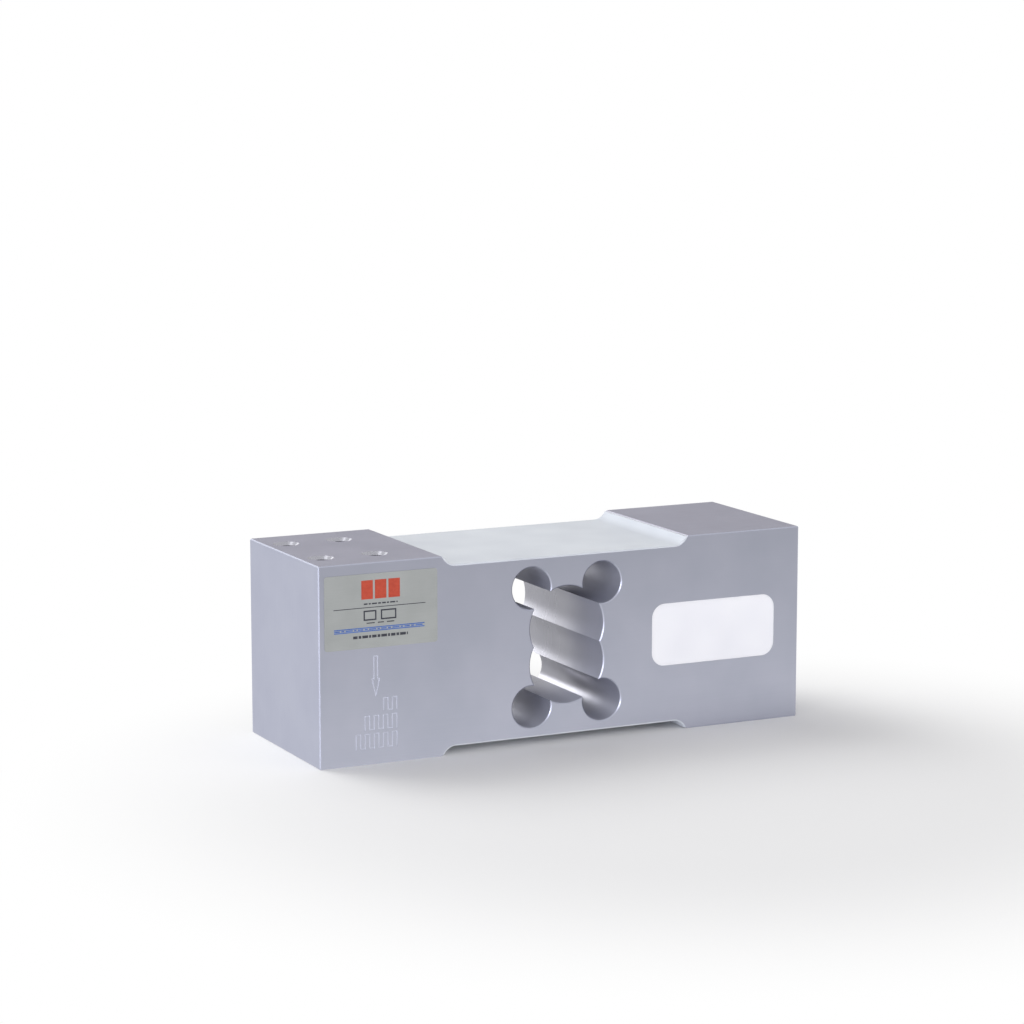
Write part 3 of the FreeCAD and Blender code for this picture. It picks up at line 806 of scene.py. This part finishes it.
def inlet_bush(material):
    """The rubber bush as moulded, with rounded rims, turned about the inlet's axis."""
    low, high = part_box("cable_bush")
    middle_y, middle_z = (low.y + high.y) / 2, (low.z + high.z) / 2
    flange, lip, mouth = BUSH_FLANGE_RADIUS, BUSH_LIP_RADIUS, BUSH_MOUTH_RADIUS
    seat = high.x - BUSH_FLANGE_THICKNESS
    section = [(low.x, BUSH_HOLE_RADIUS), (low.x, BUSH_BODY_RADIUS), (seat, BUSH_BODY_RADIUS)]
    section += [(seat, flange), (high.x - lip, flange)]
    for step in range(1, BUSH_ARC_STEPS + 1):
        angle = math.radians(90 * step / BUSH_ARC_STEPS)
        section.append((high.x - lip + lip * math.sin(angle), flange - lip + lip * math.cos(angle)))
    for step in range(BUSH_ARC_STEPS + 1):
        angle = math.radians(90 * step / BUSH_ARC_STEPS)
        rise = mouth * (1 - math.sin(angle))
        section.append((high.x - mouth * (1 - math.cos(angle)), BUSH_HOLE_RADIUS + rise))
    points, faces = [], []
    for turn in range(BUSH_TURNS):
        angle = 2 * math.pi * turn / BUSH_TURNS
        for x, radius in section:
            points.append((x, middle_y + radius * math.cos(angle), middle_z + radius * math.sin(angle)))
    count = len(section)
    for turn in range(BUSH_TURNS):
        here, there = turn * count, (turn + 1) % BUSH_TURNS * count
        for k in range(count):
            follows = (k + 1) % count
            faces.append((here + k, here + follows, there + follows, there + k))
    bush = mesh_object("inlet_bush", points, faces)
    bush.data.materials.append(material)
    bush = smooth_by_angle(bush, 35)
    finish_piece(bush, "bush_rubber", "cable_bush")


def dress_node(node, material):
    """Gives a CAD node that stays its finish."""
    piece = frame["nodes"][node]
    piece.data.materials.clear()
    piece.data.materials.append(material)


# Stage, light and camera


def ray_is_looking(tree):
    """1 for a ray from the camera, a gloss or a clear piece, and 0 for one that lights."""
    path = add(tree, "ShaderNodeLightPath")
    either = {0: path.outputs["Is Camera Ray"], 1: path.outputs["Is Glossy Ray"]}
    seen = add(tree, "ShaderNodeMath", either, operation="MAXIMUM").outputs[0]
    clear = {0: seen, 1: path.outputs["Is Transmission Ray"]}
    return add(tree, "ShaderNodeMath", clear, operation="MAXIMUM").outputs[0]


def pale_floor():
    """A pale floor that keeps the shadow and runs out to white away from the object."""
    half = FLOOR_HALF
    corners = [(-half, -half), (half, -half), (half, half), (-half, half)]
    floor = mesh_object("pale_floor", [(x, y, -FLOOR_DROP) for x, y in corners], [(0, 1, 2, 3)])
    if floor.data.polygons[0].normal.z < 0:
        floor.data.flip_normals()
    material, tree, shader = new_material("pale_floor_paint")
    shader.inputs["Roughness"].default_value = 0.9
    shader.inputs["Specular IOR Level"].default_value = 0.0
    shader.inputs["Base Color"].default_value = linear("#f2f2f2")
    place = add(tree, "ShaderNodeTexCoord").outputs["Object"]
    # The metal mirrors the white from closer by, so that its foot isn't dull, and less of it from far
    # in front. A mix of vectors has them in 4 and 5, and its result in 1.
    gloss = add(tree, "ShaderNodeLightPath").outputs["Is Glossy Ray"]
    depth = add(tree, "ShaderNodeSeparateXYZ", {"Vector": place}).outputs["Y"]
    near = {"Value": depth, "From Min": FRONT_START, "From Max": FRONT_END}
    ahead = add(tree, "ShaderNodeMapRange", near).outputs["Result"]
    dimmed = add(tree, "ShaderNodeMath", {0: ahead, 1: gloss}, operation="MULTIPLY").outputs[0]
    strength = {"Value": dimmed, "To Min": 1.0, "To Max": FRONT_DIM}
    glow = add(tree, "ShaderNodeMapRange", strength).outputs["Result"]
    white = add(tree, "ShaderNodeEmission", {"Color": linear("#ffffff"), "Strength": glow})
    centres = {0: gloss, 4: SHADOW_MIDDLE, 5: MIRRORED_MIDDLE}
    middle = add(tree, "ShaderNodeMix", centres, data_type="VECTOR").outputs[1]
    reach = {0: place, 1: middle}
    away = add(tree, "ShaderNodeVectorMath", reach, operation="DISTANCE").outputs["Value"]
    longer = {"Value": gloss, "To Min": 1.0, "To Max": MIRRORED_SHORTER}
    stretch = add(tree, "ShaderNodeMapRange", longer).outputs["Result"]
    scaled = {0: away, 1: stretch}
    run = add(tree, "ShaderNodeMath", scaled, operation="MULTIPLY").outputs[0]
    span = {"Value": run, "From Min": SHADOW_KEPT, "From Max": SHADOW_GONE}
    fade = add(tree, "ShaderNodeMapRange", span, interpolation_type="SMOOTHSTEP").outputs["Result"]
    both = {0: fade, 1: ray_is_looking(tree)}
    share = add(tree, "ShaderNodeMath", both, operation="MULTIPLY").outputs[0]
    surface = {0: share, 1: shader.outputs["BSDF"], 2: white.outputs["Emission"]}
    mixed = add(tree, "ShaderNodeMixShader", surface).outputs["Shader"]
    tree.links.new(mixed, tree.nodes["Material Output"].inputs["Surface"])
    floor.data.materials.append(material)


def studio_world():
    """White where it is seen, pale grey where it lights, and mirrored with two dim sides.

    One is a soft grey flag behind on the right, and the other is the camera's side of the room.
    """
    world = bpy.data.worlds.new("studio_world")
    world.use_nodes = True
    tree = world.node_tree
    background = tree.nodes["Background"]
    levels = {"Value": ray_is_looking(tree), "To Min": LIGHT_LEVEL, "To Max": 1.0}
    level = add(tree, "ShaderNodeMapRange", levels).outputs["Result"]
    gloss = add(tree, "ShaderNodeLightPath").outputs["Is Glossy Ray"]
    direction = add(tree, "ShaderNodeTexCoord").outputs["Generated"]
    # Each dim side has its way, the cosines of its rim and of its core, and its strength.
    dim_sides = ((FLAG_WAY, 0.78, 0.95, FLAG_DIM), (FRONT_WAY, 0.3, 0.8, FRONT_DIM))
    for way, start, end, dim in dim_sides:
        along = add(tree, "ShaderNodeVectorMath", {0: direction, 1: way}, operation="DOT_PRODUCT")
        edge = {"Value": along.outputs["Value"], "From Min": start, "From Max": end}
        patch = add(tree, "ShaderNodeMapRange", edge, interpolation_type="SMOOTHSTEP").outputs["Result"]
        mirrored = add(tree, "ShaderNodeMath", {0: patch, 1: gloss}, operation="MULTIPLY").outputs[0]
        greyed = {"Value": mirrored, "To Min": 1.0, "To Max": dim}
        share = add(tree, "ShaderNodeMapRange", greyed).outputs["Result"]
        level = add(tree, "ShaderNodeMath", {0: level, 1: share}, operation="MULTIPLY").outputs[0]
    background.inputs["Color"].default_value = linear("#ffffff")
    tree.links.new(level, background.inputs["Strength"])
    bpy.context.scene.world = world


def softbox(name, place, aim, width, height, watts, colour, mirrored, spread=180):
    """A flat lamp that faces a point, with its beam's spread in degrees.

    The metal mirrors only the lamps that are dim for their size, so that it never glares.
    """
    lamp = bpy.data.lights.new(name, "AREA")
    lamp.shape = "RECTANGLE"
    lamp.size, lamp.size_y = width, height
    lamp.energy = watts
    lamp.color = linear(colour)[:3]
    lamp.spread = math.radians(spread)
    made = bpy.data.objects.new(name, lamp)
    bpy.context.scene.collection.objects.link(made)
    made.location = place
    made.rotation_euler = (Vector(aim) - Vector(place)).to_track_quat("-Z", "Y").to_euler()
    made.visible_camera = False
    made.visible_glossy = mirrored


def studio_camera():
    """The photograph's view: a long lens from the front left, a little above."""
    lens = bpy.data.cameras.new("studio_camera")
    lens.lens = CAMERA_LENS
    lens.sensor_width = CAMERA_SENSOR
    lens.clip_start = 0.01
    camera = bpy.data.objects.new("studio_camera", lens)
    bpy.context.scene.collection.objects.link(camera)
    camera.location = CAMERA_PLACE
    camera.rotation_euler = Vector(CAMERA_WAY).to_track_quat("-Z", "Y").to_euler()
    bpy.context.scene.camera = camera


# The whole scene

bpy.context.scene.view_settings.view_transform = "Standard"
studio_camera()
studio_world()
pale_floor()
softbox("overhead_softbox", (-0.6, 1.05, 1.25), (0, 0, 0.03), 0.9, 0.9, 10, "#ffffff", False)
softbox("overhead_glint", (-0.6, 1.05, 1.25), (0, 0, 0.03), 1.8, 1.8, 13, "#ffffff", True)
softbox(
    "rear_glint", (-0.022, 0.105, 0.041), (0.012, 0.02, 0.018), 0.024, 0.024, 0.0005, "#ffffff", True, 44
)
softbox("left_softbox", (-0.75, -0.42, 0.12), (-0.05, 0, 0.03), 0.4, 0.4, 1.6, "#eef1ff", True)
softbox("front_left_softbox", (-1.2, -1.4, 0.5), (-0.07, 0, 0.03), 2.2, 1.0, 11.5, "#f4f5ff", True)
softbox("front_right_softbox", (1.3, -1.6, 0.6), (0, 0, 0.03), 1.4, 1.2, 15, "#fffaf6", False)

machined_bar()
coat_silicone = cast_silicone("coat_silicone", ("#ced3db", "#d8dde4"), 0.38, 0.05 * MM)
for coat_level in ("upper", "lower"):
    gauge_coat(coat_level, coat_silicone)
pocket_potting(cast_silicone("potting_silicone", ("#edeef4", "#f4f5fa"), 0.45, 0.02 * MM))
print_on_plate()
inlet_bush(inner_material("moulded_rubber", ("#1c1c1f", "#26262a"), 0.0, 0.6, 0.4 * MM, 0.01 * MM))

silver_foil = plate_foil()
film = inner_material("polyimide_film", ("#b5701f", "#c78432"), 0.0, 0.3, 0.5 * MM, 0.002 * MM)
gauge_metal = inner_material("etched_constantan", ("#a39d92", "#b3ada2"), 1.0, 0.35, 0.1 * MM, 0.002 * MM)
copper = inner_material("enamelled_copper", ("#b0603a", "#c4744c"), 1.0, 0.3, 0.3 * MM, 0.002 * MM)
sleeve = inner_material("fluoropolymer_sleeve", ("#e2e2dd", "#eeeeea"), 0.0, 0.4, 0.8 * MM, 0.004 * MM)
laminate = inner_material("solder_mask_laminate", ("#12512c", "#1a6338"), 0.0, 0.35, 0.5 * MM, 0.01 * MM)
foam = inner_material("foam_tape", ("#3c3c3e", "#4a4a4d"), 0.0, 0.9, 0.3 * MM, 0.05 * MM)
tin = inner_material("tin_solder", ("#b4b5b8", "#c6c7ca"), 1.0, 0.35, 0.3 * MM, 0.01 * MM)
chip = inner_material("chip_resistor_body", ("#1d1d20", "#2a2a2e"), 0.0, 0.5, 0.2 * MM, 0.004 * MM)

dressed = {"nameplate": silver_foil, "compensation_board": laminate, "board_tape": foam}
dressed.update({"gauge_solder_pads": tin, "cable_solder_pads": tin})
for row_level in ("upper", "lower"):
    dressed["lead_wires_" + row_level] = copper
    dressed["wire_sleeve_" + row_level] = sleeve
    for side_word in ("left", "right"):
        dressed[f"gauge_carrier_{row_level}_{side_word}"] = film
        dressed[f"gauge_grid_{row_level}_{side_word}"] = gauge_metal
for number in range(1, 5):
    dressed[f"trim_resistor_{number}"] = chip
for dressed_node, dressed_finish in dressed.items():
    dress_node(dressed_node, dressed_finish)
